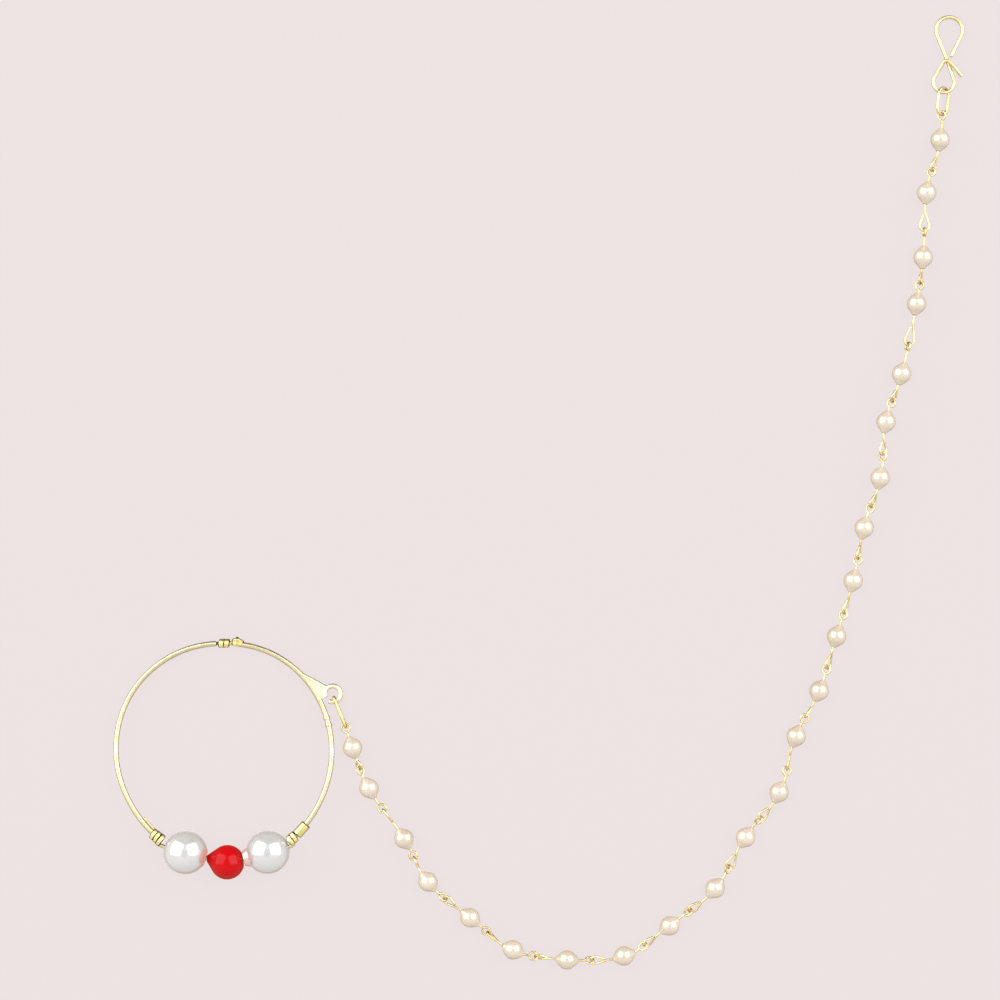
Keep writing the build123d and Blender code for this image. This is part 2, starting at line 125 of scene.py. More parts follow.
def fill(node, **sockets):
    """Sets sockets of a node, by name or number, or joins them to what feeds them."""
    for key, value in sockets.items():
        slot = node.inputs[int(key[1:]) if key[1:].isdigit() else key.replace("_", " ")]
        if isinstance(value, bpy.types.NodeSocket):
            node.id_data.links.new(value, slot)
        else:
            slot.default_value = value


def adder(tree):
    """A short way to add nodes to a tree, with their settings and sockets."""
    def add(kind, settings=None, **sockets):
        made = tree.nodes.new(kind)
        for key, value in (settings or {}).items():
            setattr(made, key, value)
        fill(made, **sockets)
        return made

    return add


def tree_with(name, inputs):
    """A new Geometry Nodes tree with named inputs, a way to add nodes and its inputs' sockets."""
    tree = bpy.data.node_groups.new(name, "GeometryNodeTree")
    tree.interface.new_socket("Geometry", in_out="INPUT", socket_type="NodeSocketGeometry")
    for label, kind in inputs:
        tree.interface.new_socket(label, in_out="INPUT", socket_type="NodeSocket" + kind)
    tree.interface.new_socket("Geometry", in_out="OUTPUT", socket_type="NodeSocketGeometry")
    return tree, adder(tree), tree.nodes.new("NodeGroupInput").outputs


def finish_tree(tree, add, mesh, material):
    """Ends a tree: smooth shading, real geometry, its material, and the output."""
    smooth = add("GeometryNodeSetShadeSmooth", Geometry=mesh)
    real = add("GeometryNodeRealizeInstances", Geometry=smooth.outputs[0])
    plated = add("GeometryNodeSetMaterial", Geometry=real.outputs[0], Material=material)
    add("NodeGroupOutput", _0=plated.outputs[0])
    return tree


def wobble(add, given, scale):
    """Small offsets that differ from place to place, as large as the tree's Unevenness."""
    noise = add("ShaderNodeTexNoise", {"noise_dimensions": "4D"}, Scale=scale, Detail=1.0,
                W=given["Seed"])
    centred = add("ShaderNodeVectorMath", {"operation": "SUBTRACT"}, _0=noise.outputs["Color"],
                  _1=(0.5, 0.5, 0.5))
    return add("ShaderNodeVectorMath", {"operation": "SCALE"}, _0=centred.outputs[0],
               Scale=given["Unevenness"]).outputs[0]


def drawn_wire_tree():
    """Sweeps a round section along each curve, uneven as hand-bent wire is. The mesh keeps where
    each point lies along and around the wire, for the drawing marks."""
    tree, add, given = tree_with("drawn_wire", (
        ("Diameter", "Float"), ("Sides", "Int"), ("Unevenness", "Float"), ("Seed", "Float"),
        ("Material", "Material"),
    ))
    moved = add("GeometryNodeSetPosition", Geometry=given["Geometry"],
                Offset=wobble(add, given, 420.0))
    place = add("GeometryNodeSplineParameter")
    marked = add("GeometryNodeStoreNamedAttribute", {"data_type": "FLOAT", "domain": "POINT"},
                 Geometry=moved.outputs[0], Name="along", Value=place.outputs["Length"])
    radius = add("ShaderNodeMath", {"operation": "DIVIDE"}, _0=given["Diameter"], _1=2.0)
    circle = add("GeometryNodeCurvePrimitiveCircle", Resolution=given["Sides"], Radius=1.0)
    here = add("GeometryNodeInputPosition")
    section = add("GeometryNodeStoreNamedAttribute",
                  {"data_type": "FLOAT_VECTOR", "domain": "POINT"},
                  Geometry=circle.outputs[0], Name="around", Value=here.outputs[0])
    thickness = add("GeometryNodeInputRadius")
    size = add("ShaderNodeMath", {"operation": "MULTIPLY"}, _0=radius.outputs[0],
               _1=thickness.outputs[0])
    swept = add("GeometryNodeCurveToMesh", Curve=marked.outputs[0],
                Profile_Curve=section.outputs[0], Fill_Caps=True, Scale=size.outputs[0])
    return finish_tree(tree, add, swept.outputs[0], given["Material"])


def shown(name, data):
    """A new object in the scene."""
    made = bpy.data.objects.new(name, data)
    bpy.context.collection.objects.link(made)
    return made


def bake(made, tree, values):
    """Runs a tree on an object and keeps the result as a plain mesh object."""
    modifier = made.modifiers.new("nodes", "NODES")
    modifier.node_group = tree
    for item in tree.interface.items_tree:
        if item.in_out == "INPUT" and item.name in values:
            modifier[item.identifier] = values[item.name]
    evaluated = made.evaluated_get(bpy.context.evaluated_depsgraph_get())
    mesh = bpy.data.meshes.new_from_object(evaluated)
    name = made.name
    bpy.data.objects.remove(made)
    mesh.name = name
    return shown(name, mesh)


def wires(name, routes, diameter, place, material, sides=20, uneven=0.01, seed=1.0, closed=False):
    """Wires of one diameter along routes of (points, thickness at each point)."""
    curve = bpy.data.curves.new(name, "CURVE")
    curve.dimensions = "3D"
    for points, sizes in routes:
        spline = curve.splines.new("POLY")
        spline.points.add(len(points) - 1)
        for target, point, size in zip(spline.points, points, sizes):
            target.co = (*(place @ point), 1)
            target.radius = size
        spline.use_cyclic_u = closed
    return bake(shown(name, curve), drawn_wire, {
        "Diameter": diameter * MM, "Sides": sides, "Unevenness": uneven * MM, "Seed": seed,
        "Material": material,
    })


def joined(name, pieces):
    """Soldered pieces as one object."""
    whole = pieces[0]
    with bpy.context.temp_override(active_object=whole, selected_editable_objects=pieces):
        bpy.ops.object.join()
    whole.name = name
    whole.data.name = name
    return whole


def dress(piece, slot, *nodes):
    """A finished piece rides on the one body and stands for these CAD nodes."""
    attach(piece, "root")
    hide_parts(*nodes)
    for node in nodes:
        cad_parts[node].data.materials.clear()
        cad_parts[node].data.materials.append(piece.data.materials[0])


def painted(name):
    """A new material, its shader, and a way to add nodes to it."""
    material = bpy.data.materials.new(name)
    material.use_nodes = True
    return material, material.node_tree.nodes["Principled BSDF"], adder(material.node_tree)


def ramped(add, factor, *stops):
    """A colour that follows a factor through stops of (position, colour)."""
    ramp = add("ShaderNodeValToRGB", Fac=factor)
    ends = ramp.color_ramp.elements
    for end, (position, colour) in zip(ends, (stops[0], stops[-1])):
        end.position = position
        end.color = (*colour, 1)
    for position, colour in stops[1:-1]:
        ends.new(position).color = (*colour, 1)
    return ramp.outputs["Color"]


def gold(name, tint, worn, edge, drawn=True):
    """Pale gold plate over brass: cloudy patches of wear, fine marks, a warm dark edge, and dark
    brown painted shade where the mesh's attribute for it says so."""
    material, shader, add = painted(name)
    place = add("ShaderNodeTexCoord").outputs["Object"]
    cloud = add("ShaderNodeTexNoise", Scale=700, Detail=4, Vector=place).outputs["Fac"]
    groove = add("ShaderNodeAttribute", {"attribute_name": "groove"}).outputs["Fac"]
    dark = add("ShaderNodeMapRange", Value=groove, From_Min=0.05, From_Max=0.35).outputs["Result"]
    wear = ramped(add, cloud, (0.32, worn), (0.6, tint))
    # Painted shade: dark brown mixed in where the mesh's shade attribute is high.
    colour = add("ShaderNodeMix", {"data_type": "RGBA"}, Factor=dark, A=wear, B=(0.07, 0.032, 0.008, 1))
    grain = add("ShaderNodeTexNoise", Scale=7000, Detail=3, Vector=place).outputs["Fac"]
    marks = grain
    if drawn:
        along = add("ShaderNodeAttribute", {"attribute_name": "along"}).outputs["Fac"]
        around = add("ShaderNodeAttribute", {"attribute_name": "around"}).outputs["Vector"]
        slow = add("ShaderNodeMath", {"operation": "MULTIPLY"}, _0=along, _1=350)
        stretch = add("ShaderNodeCombineXYZ", Z=slow.outputs[0])
        flow = add("ShaderNodeVectorMath", {"operation": "MULTIPLY_ADD"}, _0=around, _1=(4, 4, 0),
                   _2=stretch.outputs[0])
        marks = add("ShaderNodeTexNoise", Scale=1.6, Detail=4, Vector=flow.outputs[0]).outputs["Fac"]
    rough = add("ShaderNodeMapRange", Value=cloud, To_Min=0.46, To_Max=0.34)
    fine = add("ShaderNodeBump", Strength=0.04, Distance=0.01 * MM, Height=grain)
    bump = add("ShaderNodeBump", Strength=0.12 if drawn else 0.06, Distance=0.03 * MM, Height=marks,
               Normal=fine.outputs[0])
    fill(shader, Base_Color=colour.outputs["Result"], Metallic=1.0, Roughness=rough.outputs["Result"],
         Specular_Tint=(*edge, 1), Normal=bump.outputs[0])
    return material


flat_place = Matrix.Translation(node_middle("chain_pearl_01") - FIRST_PEARL * MM) @ Matrix.Scale(MM, 4)
closure_radius = hoop_radius(CLOSURE_AT)
lean = math.asin((PEARL_RADIUS - SOCKET_OUTER) / (closure_radius - LEFT_PEARL.y))
hoop_height = SOCKET_OUTER + closure_radius * math.sin(lean)
hoop_place = flat_place @ Matrix.Translation((0, 0, hoop_height)) @ Matrix.Rotation(-lean, 4, "X")

left_end_at = LEFT_WRAP_AT + 0.45 * LEFT_TURN * DEGREES_PER_MM
wire_end = CLOSURE_AT + (SOCKET_LENGTH / 2 + TIP_GAP) * DEGREES_PER_MM
tip_end = CLOSURE_AT - (SOCKET_LENGTH / 2 - TIP_SHORT) * DEGREES_PER_MM

drawn_wire = drawn_wire_tree()
hoop_gold = gold("pale_gold_hoop", tint=(0.62, 0.565, 0.36), worn=(0.56, 0.49, 0.28),
                 edge=(0.6, 0.34, 0.17))
# Painted shade: the bare tip, in the dark gap at the socket's mouth, is coloured dark brown all over.
tip_shade_gold = gold("tarnished_gold", tint=(0.2, 0.14, 0.04), worn=(0.12, 0.075, 0.02),
                 edge=(0.25, 0.15, 0.05), drawn=False)

left_run = soft_ends(hoop_run(left_end_at, wire_end), HOOP_WIRE)
tip_run = soft_ends(hoop_run(wire_end + TIP_ROOT, tip_end, step=0.6), TIP_WIRE)
dress(joined("hoop_left", [
    wires("hoop_left_wire", [left_run], HOOP_WIRE, hoop_place, hoop_gold, sides=28),
    wires("hoop_left_tip", [tip_run], TIP_WIRE, hoop_place, tip_shade_gold),
]), "gold_wire", "hoop_left")

# ----------------------------------------------------------------------
# Closure, on the end of the hoop's right half: two flat turns of wire round a blind bore for
# the other half's tip, a short neck, and the wire's end folded and hammered into a faceted
# lump. Its crest is the wire's cut point. The lump's ends and the crest's tip carry painted shade.

SOCKET_BORE = 0.36           # radius
SOCKET_TRIM = 0.008          # taken off the strip's thickness, for its unevenness
FLOOR_THICK = 0.24
NECK_WIRE = 0.6
LUMP_AT = 82.9
LUMP_RISE = 0.22             # how far the fold stands out from the hoop's line
LUMP_LENGTH = 1.9
NIB_PAST = 0.6               # degrees from the lump's middle to its crest
NIB_RISE = 0.36
NIB_HEIGHT = 0.56
EDGE_ROUNDING = 0.15
GROOVE_SHADE_WIDTH = 0.15          # how far in from a strip's edge the painted shade reaches
# How far in from a turned piece's ends the painted shade reaches
END_SHADE_DEPTH = 0.2


def straight(start, end, step=0.3):
    count = max(1, math.ceil((end - start).length / step))
    return [start.lerp(end, n / count) for n in range(count + 1)]


def framed(origin, along, across):
    """A frame as a matrix: Z runs along, X points across."""
    side = along.cross(across)
    columns = (across, side, along, origin)
    return Matrix([[column[row] for column in columns] for row in range(3)] + [[0, 0, 0, 1]])


def along_hoop(angle, outward=0.0):
    """Z along the hoop wire, X away from the hoop's centre."""
    along = (on_hoop(angle + 0.5) - on_hoop(angle - 0.5)).normalized()
    across = Vector((along.y, -along.x, 0))
    return framed(on_hoop(angle) + across * outward, along, across)


def wound_turns_tree():
    """Winds a flattened wire round the Z axis. Each turn lies flat and steps over to the next."""
    tree, add, given = tree_with("wound_turns", (
        ("Turns", "Float"), ("Turn width", "Float"), ("Inner radius", "Float"),
        ("Thickness", "Float"), ("Growth", "Float"), ("Left hand", "Bool"),
        ("Edge rounding", "Float"), ("Unevenness", "Float"), ("Seed", "Float"),
        ("Material", "Material"),
    ))

    def sums(operation, first, second):
        return add("ShaderNodeMath", {"operation": operation}, _0=first, _1=second).outputs[0]

    middle = sums("ADD", given["Inner radius"], sums("DIVIDE", given["Thickness"], 2.0))
    spiral = add("GeometryNodeCurveSpiral", Resolution=40, Rotations=given["Turns"],
                 Start_Radius=middle, End_Radius=sums("ADD", middle, given["Growth"]), Height=0.0,
                 Reverse=given["Left hand"])
    place = add("GeometryNodeSplineParameter")
    wound = sums("SUBTRACT", sums("MULTIPLY", place.outputs["Factor"], given["Turns"]), 0.5)
    steps = sums("MAXIMUM", sums("SUBTRACT", given["Turns"], 1.0), 0.0)
    level = sums("MINIMUM", sums("MAXIMUM", wound, 0.0), steps)
    height = sums("MULTIPLY", sums("SUBTRACT", level, sums("DIVIDE", steps, 2.0)),
                  given["Turn width"])
    raised = add("ShaderNodeCombineXYZ", Z=height)
    offset = add("ShaderNodeVectorMath", {"operation": "ADD"}, _0=wobble(add, given, 900.0),
                 _1=raised.outputs[0])
    moved = add("GeometryNodeSetPosition", Geometry=spiral.outputs[0], Offset=offset.outputs[0])
    here = add("GeometryNodeInputPosition")
    outwards = add("ShaderNodeVectorMath", {"operation": "MULTIPLY"}, _0=here.outputs[0],
                   _1=(1.0, 1.0, 0.0))
    upright = add("GeometryNodeSetCurveNormal", {"mode": "FREE"}, Curve=moved.outputs[0],
                  Normal=outwards.outputs[0])
    section = add("GeometryNodeCurvePrimitiveQuadrilateral", Width=given["Thickness"],
                  Height=given["Turn width"])
    rounded = add("GeometryNodeFilletCurve", {"mode": "POLY"}, Curve=section.outputs[0], Count=4,
                  Radius=given["Edge rounding"], Limit_Radius=True)
    across = add("ShaderNodeSeparateXYZ", _0=add("GeometryNodeInputPosition").outputs[0])
    # Painted shade: each strip's edges, where the turns meet, are marked dark for shade in the grooves.
    from_edge = sums("SUBTRACT", sums("DIVIDE", given["Turn width"], 2.0),
                     sums("ABSOLUTE", across.outputs["Y"], 0.0))
    edged = add("GeometryNodeStoreNamedAttribute", {"data_type": "FLOAT", "domain": "POINT"},
                Geometry=rounded.outputs[0], Name="groove",
                Value=sums("SUBTRACT", 1.0, sums("DIVIDE", from_edge, GROOVE_SHADE_WIDTH * MM)))
    swept = add("GeometryNodeCurveToMesh", Curve=upright.outputs[0],
                Profile_Curve=edged.outputs[0], Fill_Caps=True)
    return finish_tree(tree, add, swept.outputs[0], given["Material"])


wound_turns = wound_turns_tree()


def turns(name, place, count, width, inner, thick, material, start, uneven, seed, growth=0.0,
          left_hand=False):
    """Flat turns wound round the hoop. `start` is where the first one begins, in degrees, and
    `growth` how much further out the last one lies."""
    piece = bake(shown(name, bpy.data.meshes.new(name)), wound_turns, {
        "Turns": float(count), "Turn width": width * MM, "Inner radius": inner * MM,
        "Thickness": thick * MM, "Growth": growth * MM, "Left hand": left_hand,
        "Edge rounding": EDGE_ROUNDING * MM, "Unevenness": uneven * MM, "Seed": seed,
        "Material": material,
    })
    piece.data.transform(Matrix.Rotation(math.radians(start), 4, "Z"))
    piece.data.transform(place @ Matrix.Scale(1 / MM, 4))
    return piece


def kept(name, mesh, material):
    """A mesh in the making, kept as an object."""
    data = bpy.data.meshes.new(name)
    mesh.to_mesh(data)
    mesh.free()
    data.materials.append(material)
    return shown(name, data)


def turned(name, outline, place, material, sides=64):
    """A lathe-turned piece. The outline is (radius, height) points; where it starts and ends on
    the axis it closes to a pole, otherwise it runs round through a bore."""
    mesh = bmesh.new()
    rings = []
    for radius, height in outline:
        if radius < 1e-6:
            rings.append([mesh.verts.new((0, 0, height))] * sides)
        else:
            rings.append([mesh.verts.new((*polar(360 * n / sides, radius).xy, height))
                          for n in range(sides)])
    pairs = list(zip(rings, rings[1:]))
    if outline[0][0] > 1e-6:
        pairs.append((rings[-1], rings[0]))
    for first, second in pairs:
        for n in range(sides):
            corners = [first[n], first[n - 1], second[n - 1], second[n]]
            corners = [c for k, c in enumerate(corners) if c is not corners[k - 1]]
            mesh.faces.new(corners)
    bmesh.ops.recalc_face_normals(mesh, faces=mesh.faces)
    mesh.transform(place)
    bmesh.ops.recalc_face_normals(mesh, faces=mesh.faces)
    piece = kept(name, mesh, material)
    piece.data.shade_smooth()
    return piece


def paint_end_shade(piece, place, half_length):
    """Painted shade on the ends of a turned piece: dark brown at the ends, fading out towards its middle."""
    marked = piece.data.attributes.new("groove", "FLOAT", "POINT")
    for spot, vertex in zip(marked.data, piece.data.vertices):
        depth = half_length - abs((place.inverted() @ vertex.co).z)
        spot.value = min(max(1 - depth / END_SHADE_DEPTH, 0.0), 1.0)


def rounded_bar(outer, length, rounding):
    """Outline of a short round bar with rounded edges."""
    half = length / 2
    steps = 4
    points = [(0, -half)]
    for middle, first in ((-half + rounding, -90), (half - rounding, 0)):
        for n in range(steps + 1):
            step = polar(first + 90 * n / steps, rounding)
            points.append((outer - rounding + step.x, middle + step.y))
    return points + [(0, half)]


folded_gold = gold("pale_gold_fold", tint=(0.84, 0.76, 0.36), worn=(0.76, 0.65, 0.26),
                   edge=(0.25, 0.12, 0.04), drawn=False)

closure_place = hoop_place @ along_hoop(CLOSURE_AT)
socket = turns("socket", closure_place, 2, SOCKET_LENGTH / 2, SOCKET_BORE,
               SOCKET_OUTER - SOCKET_BORE - SOCKET_TRIM, folded_gold, start=90, uneven=0.02, seed=3.0)
floor_place = closure_place @ Matrix.Translation((0, 0, (FLOOR_THICK - SOCKET_LENGTH) / 2))
socket_floor = turned("socket_floor", rounded_bar(SOCKET_BORE + 0.1, FLOOR_THICK, 0.05), floor_place,
                      folded_gold)
neck_from = CLOSURE_AT - (SOCKET_LENGTH / 2 - 0.1) * DEGREES_PER_MM
neck_line = straight(on_hoop(neck_from), on_hoop(LUMP_AT, LUMP_RISE))
neck_run = soft_ends(neck_line, NECK_WIRE, at_start=False, at_end=False)
neck = wires("neck", [neck_run], NECK_WIRE, hoop_place, folded_gold)

lump_outline = [(0, -LUMP_LENGTH / 2), (0.34, -0.93), (0.52, -0.7), (0.64, -0.2), (0.66, 0.25), (0.6, 0.7),
                (0.46, 0.93), (0, LUMP_LENGTH / 2)]
lump_place = hoop_place @ along_hoop(LUMP_AT, LUMP_RISE)
lump = turned("lump", lump_outline, lump_place, folded_gold, sides=9)
# Painted shade on the lump's ends, for their dark outline.
paint_end_shade(lump, lump_place, LUMP_LENGTH / 2)
lump.data.shade_flat()
nib_outline = [(0, 0), (0.66, 0.0), (0.5, 0.18), (0.3, 0.36), (0.08, 0.54), (0, NIB_HEIGHT)]
nib_at = LUMP_AT + NIB_PAST
nib_place = hoop_place @ framed(on_hoop(nib_at, LUMP_RISE + NIB_RISE), polar(nib_at), Vector((0, 0, 1)))
nib = turned("nib", nib_outline, nib_place, folded_gold, sides=8)
# Painted shade on the nib's tip.
paint_end_shade(nib, nib_place, NIB_HEIGHT)

# ----------------------------------------------------------------------
# Hoop, right half: the same wire, with an open eye for the chain curled from a branch wire
# and soldered on, and two thin bands below it. Closure, wire, eye and bands are one piece.

RIGHT_WRAP_AT = -51.5
RIGHT_TURN = 0.72
EYE_CENTRE = Vector((17.15, 8.85, 0))
EYE_RADIUS = 1.26
EYE_WIRE = 0.73
EYE_START = 208.0            # degrees round the eye
EYE_END = -118.0
ARM_FROM = 45.2              # degrees round the hoop
ARM_TO = 134.0               # and round the eye
ARM_WIRE = 0.67
WEB_FROM = 28.0              # the flat web between arm and hoop, as places on the hoop
WEB_TO = 42.0
WEB_THICK = 0.5
BANDS_AT = (17.2, 13.4)      # degrees round the hoop
BAND_RADIUS = 0.53
BAND_LENGTH = 0.5
BAND_ROUNDING = 0.1


def arc(centre, radius, start, end, step):
    """Points round a centre in the plane of X and Y, from one angle to another."""
    count = max(2, math.ceil(abs(end - start) / step))
    return [centre + polar(start + (end - start) * n / count, radius) for n in range(count + 1)]


right_end_at = RIGHT_WRAP_AT - 0.1 * RIGHT_TURN * DEGREES_PER_MM
right_run = soft_ends(hoop_run(right_end_at, LUMP_AT), HOOP_WIRE, at_end=False)
right_wire = wires("right_wire", [right_run], HOOP_WIRE, hoop_place, hoop_gold, sides=28, seed=5.0)

arm_root = on_hoop(ARM_FROM)
arm_join = EYE_CENTRE + polar(ARM_TO, EYE_RADIUS)
ring_run = soft_ends(arc(EYE_CENTRE, EYE_RADIUS, EYE_START, EYE_END, 6), EYE_WIRE)
arm_run = soft_ends(straight(arm_root, arm_join), ARM_WIRE, at_start=False, at_end=False)
eye_gold = gold("pale_gold_eye", tint=(0.84, 0.79, 0.58), worn=(0.78, 0.71, 0.48),
                edge=(0.6, 0.34, 0.17))
chain_eye = wires("chain_eye", [ring_run], EYE_WIRE, hoop_place, eye_gold, sides=22, uneven=0.02,
                  seed=7.0)
eye_arm = wires("eye_arm", [arm_run], ARM_WIRE, hoop_place, eye_gold, sides=22, seed=8.0)


def web(name, corners, thick, place, material):
    """A flat plate with straight sides, as thick as given."""
    mesh = bmesh.new()
    upper, lower = [[mesh.verts.new(corner + Vector((0, 0, z))) for corner in corners]
                    for z in (thick / 2, -thick / 2)]
    mesh.faces.new(upper)
    mesh.faces.new(reversed(lower))
    for n in range(len(corners)):
        mesh.faces.new([upper[n - 1], lower[n - 1], lower[n], upper[n]])
    bmesh.ops.recalc_face_normals(mesh, faces=mesh.faces)
    bmesh.ops.triangulate(mesh, faces=mesh.faces)
    mesh.transform(place)
    return kept(name, mesh, material)


ring_side = arc(EYE_CENTRE, EYE_RADIUS, ARM_TO, EYE_START, 12)
web_corners = [arm_root, *ring_side, *hoop_run(WEB_FROM, WEB_TO, step=4)]
eye_web = web("eye_web", web_corners, WEB_THICK, hoop_place, eye_gold)
band_outline = rounded_bar(BAND_RADIUS, BAND_LENGTH, BAND_ROUNDING)
bands = [turned(f"band_{angle:.0f}", band_outline, hoop_place @ along_hoop(angle), hoop_gold, sides=32)
         for angle in BANDS_AT]

dress(joined("hoop_right", [right_wire, chain_eye, eye_arm, eye_web, *bands, socket, socket_floor, neck,
                            lump, nib]), "gold_wire", "hoop_right")

# ----------------------------------------------------------------------
# Bead wire: one softer wire through the two pearls and the red bead. Each end is wound on the
# hoop beside its pearl in flattened turns, pressed a little wider on the right. On the left
# its last bit lies along the hoop.

RIGHT_PEARL = Vector((7.09, -16.0, 0))
RED_BEAD = Vector((0.72, -17.56, 0))
RED_TIP = Vector((-1.94, -16.98, 0))
RED_TIP_RADIUS = 0.72
RED_BORE = 0.5
RED_FLAT = 2.44              # from the bead's middle to its flat
BEAD_WIRE = 0.6
BEAD_BEND = 0.35
PAST_PEARL = 0.3             # how far the wire runs straight on past a pearl
PAST_FLAT = 0.14             # and past the red bead's flat
WRAP_INNER = 0.53            # radius of the turns wound on the hoop wire
LEFT_IN = 0.25               # how far out in the strip the wire through the beads ends
RIGHT_IN = 0.21
LEFT_THICK = 0.3             # of the strips
LEFT_GROWTH = 0.2            # how much further out the turn beside the left pearl lies
RIGHT_THICK = 0.36
RIGHT_SPREAD = 0.08          # how much wider each right-hand strip was pressed
TAIL_WIRE = 0.34
TAIL_LENGTH = 3.0
TAIL_OUT = 0.03              # between the tail and the hoop


def route(*runs):
    """Runs of points one after the other, without the points they share."""
    points = []
    for run in runs:
        for point in run:
            if not points or (point - points[-1]).length > 0.004:
                points.append(point)
    return points


def bent(points, reach=9.0):
    """Straight runs joined by arcs that start at most `reach` before each corner."""
    runs = []
    start = points[0]
    for before, corner, after in zip(points, points[1:], points[2:]):
        heading = (corner - before).normalized()
        leaving = (after - corner).normalized()
        turn = heading.angle(leaving)
        if turn < math.radians(0.3):
            continue
        room = min(reach, 0.45 * min((corner - before).length, (after - corner).length))
        radius = room / math.tan(turn / 2)
        inward = (leaving - heading * heading.dot(leaving)).normalized()
        middle = corner - heading * room + inward * radius
        count = max(3, math.ceil(math.degrees(turn) / 7))
        swings = [turn * n / count for n in range(count + 1)]
        runs.append(straight(start, corner - heading * room))
        runs.append([middle - inward * radius * math.cos(swing) + heading * radius * math.sin(swing)
                     for swing in swings])
        start = corner + leaving * room
    runs.append(straight(start, points[-1]))
    return route(*runs)


wrap_gold = gold("pale_gold_wraps", tint=(0.84, 0.76, 0.36), worn=(0.76, 0.65, 0.26),
                 edge=(0.25, 0.12, 0.04), drawn=False)
strand_gold = gold("pale_gold_strand", tint=(0.64, 0.58, 0.34), worn=(0.58, 0.5, 0.26),
                   edge=(0.6, 0.34, 0.17))
left_frame = along_hoop(LEFT_WRAP_AT)
right_frame = along_hoop(RIGHT_WRAP_AT)
right_place = hoop_place @ right_frame @ Matrix.Translation((0, 0, -RIGHT_SPREAD))
left_wrap = turns("left_wrap", hoop_place @ left_frame, 3, LEFT_TURN, WRAP_INNER, LEFT_THICK, wrap_gold,
                  start=60, uneven=0.03, seed=11.0, growth=LEFT_GROWTH, left_hand=True)
right_wrap = turns("right_wrap", right_place, 2, RIGHT_TURN + RIGHT_SPREAD, WRAP_INNER, RIGHT_THICK,
                   wrap_gold, start=80, uneven=0.03, seed=12.0)

left_in = left_frame @ Vector((WRAP_INNER + LEFT_IN, 0, LEFT_TURN))
right_in = right_frame @ Vector((WRAP_INNER + RIGHT_IN, 0, -RIGHT_TURN / 2))
left_bend = RED_TIP - Vector((math.sqrt(RED_TIP_RADIUS ** 2 - RED_BORE ** 2), 0, 0))
right_bend = Vector((RED_BEAD.x + RED_FLAT + PAST_FLAT, RED_TIP.y, 0))
left_heading = (LEFT_PEARL - left_bend).normalized()
right_heading = (RIGHT_PEARL - right_bend).normalized()
left_out = LEFT_PEARL + left_heading * (PEARL_RADIUS + PAST_PEARL)
right_out = RIGHT_PEARL + right_heading * (PEARL_RADIUS + PAST_PEARL)
bead_path = bent([left_in, left_out, left_bend, right_bend, right_out, right_in], BEAD_BEND)
bead_run = soft_ends(bead_path, BEAD_WIRE, at_start=False, at_end=False)
through = wires("through_wire", [bead_run], BEAD_WIRE - 0.01, hoop_place, strand_gold, seed=13.0)
tail_from = LEFT_WRAP_AT - LEFT_TURN * DEGREES_PER_MM
tail_to = tail_from - TAIL_LENGTH * DEGREES_PER_MM
tail_line = hoop_run(tail_from, tail_to, -(HOOP_WIRE + TAIL_WIRE) / 2 - TAIL_OUT, 0.8)
tail_run = soft_ends(tail_line, TAIL_WIRE, at_start=False)
tail = wires("tail_wire", [tail_run], TAIL_WIRE, hoop_place, strand_gold, sides=16, uneven=0.02,
             seed=14.0)
dress(joined("bead_wire", [through, left_wrap, right_wrap, tail]), "gold_wire", "bead_wire")

# ----------------------------------------------------------------------
# Crimp sleeve: a strip of the same metal rolled once round the hoop wire, against the right
# hand turns, with its seam on the underside.

SLEEVE_LENGTH = 2.2
SLEEVE_THICK = 0.27
SLEEVE_GAP = 0.06
SLEEVE_TURNS = 0.985         # not quite once round, which leaves the seam open
sleeve_at = RIGHT_WRAP_AT + (RIGHT_TURN + SLEEVE_GAP + SLEEVE_LENGTH / 2) * DEGREES_PER_MM
sleeve = turns("crimp_sleeve", hoop_place @ along_hoop(sleeve_at), SLEEVE_TURNS, SLEEVE_LENGTH,
               WRAP_INNER, SLEEVE_THICK, wrap_gold, start=90, uneven=0.03, seed=21.0)
dress(sleeve, "gold_wire", "crimp_sleeve")

# ----------------------------------------------------------------------
# Large pearls: round white pearls with soft, deep gloss, drilled through and threaded on the
# bead wire. Growth leaves faint cloudy bands and a skin that is not quite even.

PEARL_BORE = 0.45            # radius
PEARL_TRIM = 0.008           # taken off a pearl's radius
RED_REFLECTION_FROM = 2.7             # from a pearl's middle to where the painted reflection of the red bead starts


def pearl(name, light, shade, rough, density, bloom=0.7):
    """Pearl lustre: a dense clear skin with a soft bloom over a clouded body, and a painted red
    reflection of the red bead where the mesh's attribute for it says so."""
    material, shader, add = painted(name)
    place = add("ShaderNodeTexCoord").outputs["Object"]
    cloud = add("ShaderNodeTexNoise", Scale=320, Detail=3, Distortion=0.6, Vector=place).outputs["Fac"]
    reflected_red = add("ShaderNodeAttribute", {"attribute_name": "rubbed_red"}).outputs["Fac"]
    skin = ramped(add, cloud, (0.3, shade), (0.7, light))
    # Painted reflection of the red bead, mixed in where the attribute is high.
    colour = add("ShaderNodeMix", {"data_type": "RGBA"}, Factor=reflected_red, A=skin, B=(0.6, 0.24, 0.16, 1))
    gloss = add("ShaderNodeMapRange", Value=cloud, To_Min=rough + 0.04, To_Max=rough - 0.04)
    growth = add("ShaderNodeTexNoise", Scale=900, Detail=1, Vector=place).outputs["Fac"]
    bump = add("ShaderNodeBump", Strength=0.05, Distance=0.004 * MM, Height=growth)
    fill(shader, Base_Color=colour.outputs["Result"], Roughness=gloss.outputs["Result"], IOR=density,
         Sheen_Weight=bloom, Sheen_Roughness=0.3, Subsurface_Weight=0.12,
         Subsurface_Radius=(1, 0.9, 0.8), Subsurface_Scale=0.4 * MM, Normal=bump.outputs[0])
    return material


def bead_frame(centre, heading):
    return framed(centre, heading, Vector((0, 0, -1)))


